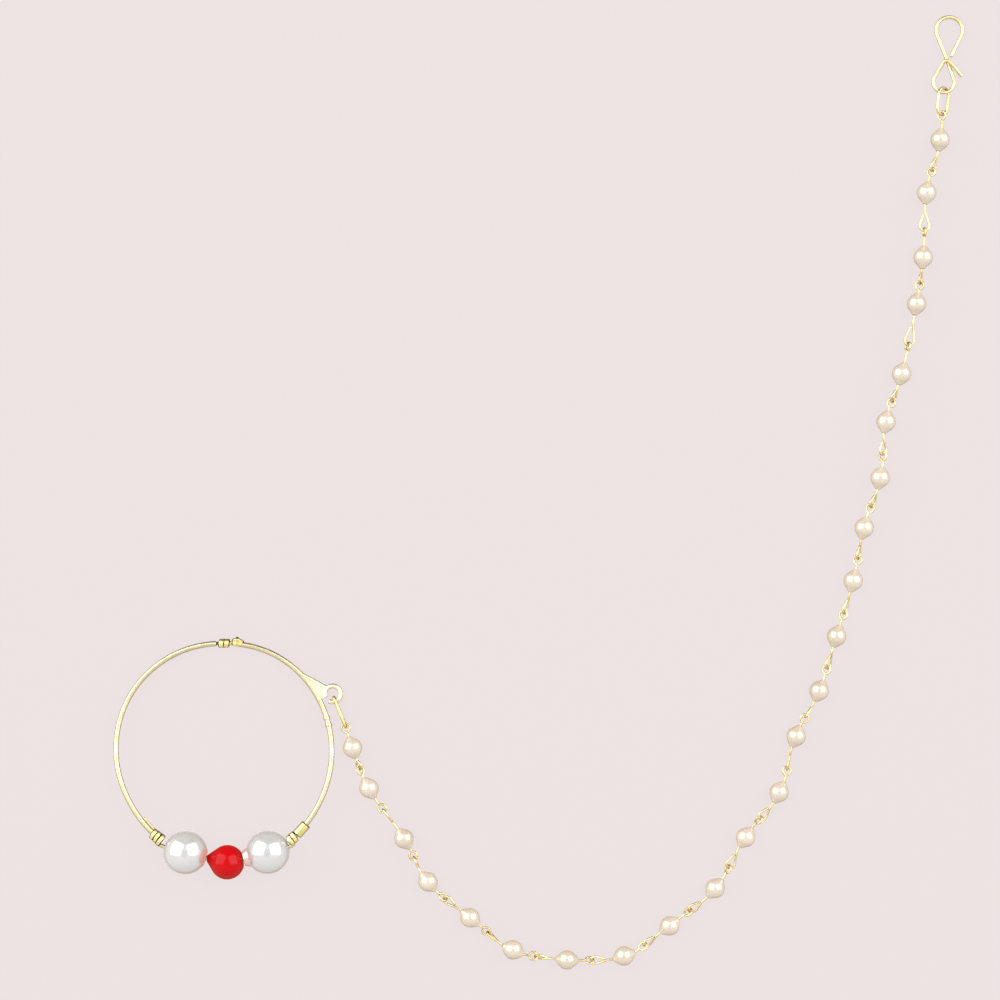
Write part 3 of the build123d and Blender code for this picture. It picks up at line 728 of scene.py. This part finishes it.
def collar_outline(radius, bore, rim, end):
    """Half of a drilled ball with a short collar round its bore, on its -Z side. Every rim is a
    little worn."""
    rings = 64
    shoulder = math.degrees(math.asin(1.2 * rim / radius))
    last = 180 - math.degrees(math.asin((bore + 0.1) / radius))
    turns_of_arc = [shoulder + (last - shoulder) * n / rings for n in range(rings + 1)]
    body = [(radius * math.sin(math.radians(turn)), -radius * math.cos(math.radians(turn)))
            for turn in turns_of_arc]
    top = body[-1][1]
    collar = [(bore, -end + 0.1), (bore + 0.06, -end), (rim - 0.08, -end), (rim, -end + 0.06)]
    return collar + body + [(bore + 0.03, top - 0.04), (bore, top - 0.12)]


white_pearl = pearl("white_pearl", light=(0.42, 0.418, 0.41), shade=(0.385, 0.384, 0.38), rough=0.15,
                    density=3.0)
for side, centre, heading, rim, end in (
    ("left", LEFT_PEARL, left_heading, 1.3, 3.3),
    ("right", RIGHT_PEARL, right_heading, 1.26, 3.9),
):
    outline = collar_outline(PEARL_RADIUS - PEARL_TRIM, PEARL_BORE, rim, end)
    ball_place = hoop_place @ bead_frame(centre, heading)
    ball = turned(f"pearl_{side}", outline, ball_place, white_pearl, sides=96)
    ball.data.set_sharp_from_angle(angle=math.radians(32))
    # Painted reflection: the pearl's side towards the red bead, round its collar, is tinted red.
    reflected_red = ball.data.attributes.new("rubbed_red", "FLOAT", "POINT")
    for corner, vertex in zip(reflected_red.data, ball.data.vertices):
        along_hole = -(ball_place.inverted() @ vertex.co).z
        corner.value = min(max((along_hole - RED_REFLECTION_FROM) / (end - RED_REFLECTION_FROM), 0.0), 1.0)
    dress(ball, "large_pearl", f"pearl_{side}")

# ----------------------------------------------------------------------
# Red bead: pressed glass or resin, deep red and very glossy, drawn out to a blunt point at one
# end of its hole and flat at the other.

RED_RADIUS = 2.7
RED_FLAT_HEADING = 10        # degrees, the way that the flat end faces


def cut(piece, *cutters):
    """Takes the cutters' shapes out of a piece and removes them."""
    for cutter in cutters:
        modifier = piece.modifiers.new("cut", "BOOLEAN")
        modifier.operation = "DIFFERENCE"
        modifier.object = cutter
    evaluated = piece.evaluated_get(bpy.context.evaluated_depsgraph_get())
    piece.data = bpy.data.meshes.new_from_object(evaluated)
    piece.modifiers.clear()
    for cutter in cutters:
        bpy.data.objects.remove(cutter)
    piece.data.set_sharp_from_angle(angle=math.radians(32))


def pointed_outline(radius, tip_radius, reach):
    """Half of a ball drawn out on its +Z side to a smaller ball, with straight sides between."""
    slope = math.asin((radius - tip_radius) / reach)
    quarter = math.pi / 2
    rings = 48
    tip_rings = 12
    points = [(0, -radius)]
    for n in range(1, rings + 1):
        turn = -quarter + (slope + quarter) * n / rings
        points.append((radius * math.cos(turn), radius * math.sin(turn)))
    for n in range(tip_rings):
        turn = slope + (quarter - slope) * n / tip_rings
        points.append((tip_radius * math.cos(turn), reach + tip_radius * math.sin(turn)))
    return points + [(0, reach + tip_radius)]


red_away = RED_TIP - RED_BEAD
red_outline = pointed_outline(RED_RADIUS - 0.002, RED_TIP_RADIUS, red_away.length)
red_glass = pearl("red_glass", light=(0.42, 0.0025, 0.004), shade=(0.36, 0.002, 0.003), rough=0.1,
                  density=1.4, bloom=0.0)
fill(red_glass.node_tree.nodes["Principled BSDF"], Subsurface_Weight=0.0, Specular_IOR_Level=0.18)
red_place = hoop_place @ bead_frame(RED_BEAD, red_away.normalized())
red_bead = turned("red_bead", red_outline, red_place, red_glass, sides=96)
bore_place = hoop_place @ bead_frame(Vector((0, RED_TIP.y, 0)), Vector((1, 0, 0)))
bore = turned("bore", rounded_bar(RED_BORE, 12, 0.01), bore_place, red_glass, sides=48)
beyond_middle = RED_BEAD + polar(RED_FLAT_HEADING, RED_FLAT + 3)
beyond_place = hoop_place @ bead_frame(beyond_middle, polar(RED_FLAT_HEADING))
beyond = turned("beyond", rounded_bar(5, 6, 0.01), beyond_place, red_glass, sides=48)
cut(red_bead, bore, beyond)
dress(red_bead, "red_bead", "red_bead")

# ----------------------------------------------------------------------
# Chain pearls: 24 small cream pearls, egg-ended along their holes, one on each link's stem.
# One pearl is turned and placed on every stem, and each is rolled on its wire at random.

CHAIN_BORE = 0.3             # radius
CHAIN_CONE = 46              # degrees from the bore where the round body turns into a cone
LAST_EYE = Vector((113.4, 100.85, CHAIN_PEARL_RADIUS))   # where the chain's last wire ends
FIRST_HEADING = -72.0        # degrees, the way that the chain leaves the hoop
PEARL_COUNT = 24


def lemon_outline(radius, cone, bore):
    """Half of a bead whose round body runs out into a cone at each end of its bore."""
    swing = math.radians(cone)
    rim = bore + 0.06
    end = radius / math.cos(swing) - rim * math.tan(swing)
    neck = Vector((radius * math.sin(swing), radius * math.cos(swing)))
    tip = Vector((rim, end))
    rings = 32
    cone_rings = 10
    angles = [(-90 + cone + (180 - 2 * cone) * n / rings) * math.pi / 180 for n in range(rings + 1)]
    body = [(radius * math.cos(turn), radius * math.sin(turn)) for turn in angles]
    slope = [neck.lerp(tip, n / cone_rings) for n in range(1, cone_rings + 1)]
    upper = [(point.x, point.y) for point in slope]
    lower = [(point.x, -point.y) for point in reversed(slope)]
    return lower + body + upper + [(bore, end - 0.06), (bore, -end + 0.06)]


def threaded_pearls_tree():
    """Places the pearl object on every point of a mesh, along the direction stored there."""
    tree, add, given = tree_with("threaded_pearls", (
        ("Pearl", "Object"), ("Size", "Float"), ("Seed", "Int"), ("Material", "Material"),
    ))
    thing = add("GeometryNodeObjectInfo", Object=given["Pearl"])
    points = add("GeometryNodeMeshToPoints", Mesh=given["Geometry"])
    heading = add("GeometryNodeInputNamedAttribute", {"data_type": "FLOAT_VECTOR"}, Name="heading")
    turn = add("FunctionNodeAlignRotationToVector", {"axis": "Z"}, Vector=heading.outputs[0])
    roll = add("FunctionNodeRandomValue", {"data_type": "FLOAT"}, _2=0.0, _3=math.tau,
               Seed=given["Seed"])
    spin = add("FunctionNodeAxisAngleToRotation", Axis=(0.0, 0.0, 1.0), Angle=roll.outputs[1])
    both = add("FunctionNodeRotateRotation", {"rotation_space": "LOCAL"}, Rotation=turn.outputs[0],
               Rotate_By=spin.outputs[0])
    placed = add("GeometryNodeInstanceOnPoints", Points=points.outputs[0],
                 Instance=thing.outputs["Geometry"], Rotation=both.outputs[0], Scale=given["Size"])
    return finish_tree(tree, add, placed.outputs[0], given["Material"])


chain_nodes = [f"chain_pearl_{n:02d}" for n in range(1, PEARL_COUNT + 1)]
to_flat = flat_place.inverted()
centres = [to_flat @ node_middle(node) for node in chain_nodes]
steps = [polar(FIRST_HEADING)]
steps += [(after - before).normalized() for before, after in zip(centres, centres[1:])]
steps.append((LAST_EYE - centres[-1]).normalized())
headings = [(before + after).normalized() for before, after in zip(steps, steps[1:])]

cream_pearl = pearl("cream_pearl", light=(0.5, 0.435, 0.35), shade=(0.435, 0.37, 0.27), rough=0.22,
                    density=2.25, bloom=0.15)
lemon = lemon_outline(CHAIN_PEARL_RADIUS - PEARL_TRIM, CHAIN_CONE, CHAIN_BORE)
pattern = turned("pearl_pattern", lemon, Matrix.Scale(MM, 4), cream_pearl, sides=48)
points = bpy.data.meshes.new("chain_pearls")
points.from_pydata([tuple(flat_place @ centre) for centre in centres], [], [])
stored = points.attributes.new("heading", "FLOAT_VECTOR", "POINT")
for n, heading in enumerate(headings):
    stored.data[n].vector = heading
chain_pearls = bake(shown("chain_pearls", points), threaded_pearls_tree(), {
    "Pearl": pattern, "Size": 1.0, "Seed": 4, "Material": cream_pearl,
})
bpy.data.objects.remove(pattern)
dress(chain_pearls, "small_pearl", *chain_nodes)

# ----------------------------------------------------------------------
# Chain links: one thin wire through each small pearl, turned into a small closed eye on the
# hook's side and a longer one on the hoop's side. Each small eye holds the next long eye, a
# quarter turn apart, so the links lie at every angle.

FIRST_EYE = Vector((19.05, 4.1, CHAIN_PEARL_RADIUS))     # where the chain's first wire starts
CHAIN_WIRE = 0.32
CLEAR = 0.12                 # between wires that pass through each other
STEM_REACH = 1.9             # from a pearl's middle to the bend of its wire
BEND = 0.35
HOOK_EYE = 0.64              # radius of a small eye
HOOK_EYE_LENGTH = 1.42
HOOP_EYE = 0.65              # radius of a long eye that reaches 2 mm
HOOK_REACH = 1.72            # from the bend to the end of a small eye, at least
HOOK_SHARE = 0.4             # or this share of the way to the next bend
HOOP_SHARE = 0.78            # a long eye's length, as a share of its reach
ROLL_BETWEEN = 80            # degrees between two eyes that hold each other
# Degrees that each small eye is rolled about its run, from the hoop to the hook
ROLLS = (55, 5, 10, -45, 20, -20, -50, -40, -50, -60, -55, 0, 5, -30, -25, -20, -30, -40, -25, -65,
         -20, -80, -30, -35)


def eye_points(bend, direction, roll, reach, radius, length):
    """One eye, from the bend of the stem out and round: its corner, its round end and its run."""
    corner = bend + direction * (reach - length)
    level = Vector((-direction.y, direction.x, 0))
    sideways = level * math.cos(math.radians(roll)) + Vector((0, 0, math.sin(math.radians(roll))))
    spread = math.asin(radius / (length - radius))
    middle = corner + direction * (length - radius)
    coming = direction * math.cos(spread) - sideways * math.sin(spread)
    wire = CHAIN_WIRE / 2
    short = (wire + 0.1 + wire * math.cos(2 * spread)) / math.sin(2 * spread)
    swing = math.pi / 2 + spread
    around = [middle + direction * radius * math.cos(swing * k) + sideways * radius * math.sin(swing * k)
              for k in (1 - 2 * n / 24 for n in range(25))]
    return corner, around, route(around, straight(around[-1], corner + coming * short))


small = []
long = []
first = FIRST_EYE - (centres[0] - headings[0] * STEM_REACH)
long.append((first.normalized(), 0, first.length))
for n in range(PEARL_COUNT - 1):
    near = centres[n] + headings[n] * STEM_REACH
    far = centres[n + 1] - headings[n + 1] * STEM_REACH
    total = (far - near).length + CHAIN_WIRE + CLEAR
    reach = max(HOOK_REACH, HOOK_SHARE * total)
    small.append(((far - near).normalized(), ROLLS[n], reach))
    long.append(((near - far).normalized(), -ROLLS[n] - ROLL_BETWEEN, total - reach))
last = LAST_EYE - centres[-1] - headings[-1] * STEM_REACH
small.append((last.normalized(), ROLLS[-1], last.length))

link_routes = []
for centre, heading, (out, roll, reach), (back, back_roll, back_reach) in zip(centres, headings, small, long):
    hook_bend = centre + heading * STEM_REACH
    hoop_bend = centre - heading * STEM_REACH
    long_radius = HOOP_EYE + 0.05 * (back_reach - 2)
    hook_corner, hook_round, hook_eye = eye_points(
        hook_bend, out, roll, reach, HOOK_EYE, HOOK_EYE_LENGTH)
    hoop_corner, hoop_round, hoop_eye = eye_points(
        hoop_bend, back, back_roll, back_reach, long_radius, HOOP_SHARE * back_reach)
    stem = bent([hook_round[0], hook_corner, hook_bend, hoop_bend, hoop_corner, hoop_round[0]], BEND)
    link_routes.append(soft_ends(route(reversed(hook_eye), stem, hoop_eye), CHAIN_WIRE))

link_gold = gold("pale_gold_links", tint=(0.8, 0.69, 0.36), worn=(0.54, 0.41, 0.16),
                 edge=(0.25, 0.12, 0.04))
chain_links = wires("chain_links", link_routes, CHAIN_WIRE, flat_place, link_gold, sides=16,
                    uneven=0.02, seed=31.0)
dress(chain_links, "gold_wire", "chain_links")

# ----------------------------------------------------------------------
# Two closed oval links: a small one, standing on edge, that holds the chain to the hoop's eye,
# and the jump ring between the chain and the hair hook.

LINK_WIRE = 0.45
LINK_RADIUS = 0.7            # of the small link's round ends
LINK_ROLL = 90               # degrees about its length, so that it stands on edge
RING_RADIUS = 1.3
RING_ROLL = 45
RING_SLACK = 0.24
RING_LIFT = 1.3              # height of the hook's wire where the jump ring hangs
HOOK_CROSSING = Vector((114.5, 108.65, 0))               # where the hook's wire crosses itself
HOOK_WIRE = 0.55
LOWER_LOOP = Vector((-0.74, -3.13, 0))                   # from the crossing
LOWER_RADIUS = 1.66


def oval(start, end, radius, roll):
    """A closed run that reaches from start to end, turned about that line."""
    run = (end - start).normalized()
    level = Vector((-run.y, run.x, 0)).normalized()
    across = level * math.cos(math.radians(roll)) + Vector((0, 0, math.sin(math.radians(roll))))
    near = start + run * radius
    far = end - run * radius
    swings = [math.pi * n / 16 for n in range(17)]
    far_round, near_round = [[middle + across * size * math.cos(swing) + run * size * math.sin(swing)
                              for swing in swings] for middle, size in ((far, radius), (near, -radius))]
    points = route(straight(near + across * radius, far + across * radius), far_round,
                   straight(far - across * radius, near - across * radius), near_round)[:-1]
    return points, [1.0] * len(points)


def between(start, first_wire, end, second_wire, gap, radius, roll):
    """A link round two wires whose middles lie at start and end."""
    run = (end - start).normalized()
    return oval(start - run * (first_wire / 2 + LINK_WIRE / 2 + CLEAR),
                end + run * (second_wire / 2 + LINK_WIRE / 2 + gap), radius, roll)


eye_middle = to_flat @ hoop_place @ EYE_CENTRE
away = Vector((FIRST_EYE.x - eye_middle.x, FIRST_EYE.y - eye_middle.y, 0)).normalized()
eye_wire = to_flat @ hoop_place @ (EYE_CENTRE + away * EYE_RADIUS)
loop_wire = Vector((HOOK_CROSSING.x + LOWER_LOOP.x, HOOK_CROSSING.y + LOWER_LOOP.y - LOWER_RADIUS,
                    RING_LIFT))
link_route = between(eye_wire, EYE_WIRE, FIRST_EYE, CHAIN_WIRE, CLEAR, LINK_RADIUS, LINK_ROLL)
ring_route = between(LAST_EYE, CHAIN_WIRE, loop_wire, HOOK_WIRE, RING_SLACK, RING_RADIUS, RING_ROLL)
for name, closed_route, seed in (("eye_link", link_route, 41.0), ("jump_ring", ring_route, 42.0)):
    piece = wires(name, [closed_route], LINK_WIRE, flat_place, link_gold, uneven=0.0, seed=seed,
                  closed=True)
    dress(piece, "gold_wire", name)

# ----------------------------------------------------------------------
# Hair hook: one bent wire. An open upper loop goes over the hair, the stem runs down into a
# lower loop that holds the jump ring, and the wire comes back up and folds over the stem.

# From the crossing of the wire
UPPER_LOOP = Vector((0.26, 5.25, 0))
UPPER_RADIUS = 2.1
HOOK_TIP = Vector((0.45, 0.95, 0))
FOLD = Vector((-0.42, 0.5, 0))
FOLD_PAST = Vector((0.62, -0.55, 0))
TAIL_END = Vector((2.15, -2.25, 0))


def touching(outside, centre, radius, side):
    """Where a line from outside a circle in X and Y touches it, on its left (1) or right (-1)."""
    away = centre - outside
    heading = math.atan2(away.y, away.x) + side * math.asin(radius / away.length)
    return outside + polar(math.degrees(heading), math.sqrt(away.length ** 2 - radius ** 2))


def bearing(point, centre):
    return math.degrees(math.atan2(point.y - centre.y, point.x - centre.x))


crossing = Vector((0, 0, 0))
lift = Vector((0, 0, HOOK_WIRE + CLEAR))
upper_right = touching(HOOK_TIP, UPPER_LOOP, UPPER_RADIUS, -1)
upper_left = touching(crossing, UPPER_LOOP, UPPER_RADIUS, 1)
lower_right = touching(crossing, LOWER_LOOP, LOWER_RADIUS, 1)
lower_left = touching(FOLD, LOWER_LOOP, LOWER_RADIUS, -1)
rising = lower_left.lerp(FOLD, 0.35)
upper_turn = (bearing(upper_right, UPPER_LOOP), bearing(upper_left, UPPER_LOOP) % 360)
lower_turn = (bearing(lower_right, LOWER_LOOP), bearing(lower_left, LOWER_LOOP) % 360 - 360)
hook_run = soft_ends(route(
    straight(HOOK_TIP, upper_right),
    arc(UPPER_LOOP, UPPER_RADIUS, *upper_turn, 6),
    bent([upper_left, crossing, lower_right]),
    arc(LOWER_LOOP, LOWER_RADIUS, *lower_turn, 6),
    bent([lower_left, rising, FOLD + lift, FOLD_PAST + lift, TAIL_END + lift * 0.3]),
), HOOK_WIRE)
hook_length = UPPER_LOOP.y + UPPER_RADIUS - LOWER_LOOP.y + LOWER_RADIUS
slope = math.asin((RING_LIFT - HOOK_WIRE / 2) / hook_length)
crossing_height = HOOK_WIRE / 2 + (UPPER_LOOP.y + UPPER_RADIUS) * math.sin(slope)
hook_place = (flat_place @ Matrix.Translation(HOOK_CROSSING + Vector((0, 0, crossing_height)))
              @ Matrix.Rotation(-slope, 4, "X"))
hook_gold = gold("pale_gold_hook", tint=(0.76, 0.67, 0.37), worn=(0.62, 0.5, 0.22),
                 edge=(0.35, 0.19, 0.07))
dress(wires("hair_hook", [hook_run], HOOK_WIRE - 0.01, hook_place, hook_gold, sides=24, uneven=0.0,
            seed=51.0), "gold_wire", "hair_hook")

# ----------------------------------------------------------------------
# Stage: a plain pale floor under soft light from two broad panels, left and right.

floor_paper, floor_shader, _ = painted("floor_paper")
fill(floor_shader, Base_Color=(0.03, 0.0277, 0.0277, 1), Roughness=1.0, Specular_IOR_Level=0.0,
     Emission_Color=(0.847, 0.768, 0.768, 1), Emission_Strength=0.93)
floor_mesh = bpy.data.meshes.new("floor")
floor_mesh.from_pydata([(-3, -3, 0), (3, -3, 0), (3, 3, 0), (-3, 3, 0)], [], [(0, 1, 2, 3)])
floor_mesh.materials.append(floor_paper)
floor = shown("floor", floor_mesh)
floor.visible_glossy = False

# The room is pale above the table and brown below its edge, which draws the thin dark lines along
# the bright metal. It is dimmer straight above and towards the table's far side.
world = bpy.data.worlds.new("studio")
world.use_nodes = True
add = adder(world.node_tree)
parts = add("ShaderNodeSeparateXYZ", Vector=add("ShaderNodeTexCoord").outputs["Generated"])
height = add("ShaderNodeMapRange", Value=parts.outputs["Z"], From_Min=-1.0).outputs["Result"]
side = add("ShaderNodeMapRange", Value=parts.outputs["Y"], From_Min=-1.0).outputs["Result"]
low_brown = (0.4, 0.26, 0.14)
walls = ramped(add, height, (0.0, low_brown), (0.2, low_brown), (0.3, (0.85, 0.78, 0.74)),
               (0.95, (0.9, 0.88, 0.88)), (0.985, (0.5, 0.5, 0.5)))
shade = ramped(add, side, (0.35, (1, 1, 1)), (0.8, (0.66, 0.66, 0.66)), (0.93, (0.2, 0.17, 0.14)))
shaded = add("ShaderNodeMix", {"data_type": "RGBA", "blend_type": "MULTIPLY"}, Factor=1.0, A=walls,
             B=shade)
fill(world.node_tree.nodes["Background"], Color=shaded.outputs["Result"], Strength=1.15)
bpy.context.scene.world = world


def panel(name, direction, distance, width, height, radiance):
    """A softbox that faces the middle of the table."""
    lamp = bpy.data.lights.new(name, "AREA")
    lamp.shape = "RECTANGLE"
    lamp.size = width
    lamp.size_y = height
    lamp.energy = 4 * width * height * radiance
    made = shown(name, lamp)
    towards = Vector(direction).normalized()
    across = Vector((0, 1, 0)).cross(towards).normalized()
    up = towards.cross(across)
    made.matrix_world = Matrix.Translation(towards * distance) @ Matrix(
        [[across[k], up[k], towards[k], 0] for k in range(3)] + [[0, 0, 0, 1]])
    made.visible_camera = False


panel("left_panel", (-0.72, 0.38, 0.58), distance=1.2, width=1.55, height=1.45, radiance=2.6)
panel("right_panel", (0.7, 0.34, 0.63), distance=1.2, width=1.4, height=1.35, radiance=2.6)

camera = bpy.data.cameras.new("camera")
camera.lens = 100
camera.clip_start = 0.01
camera_object = shown("camera", camera)
camera_object.location = (-0.00625, -0.0013, 0.4404)
bpy.context.scene.camera = camera_object
bpy.context.scene.view_settings.view_transform = "Standard"
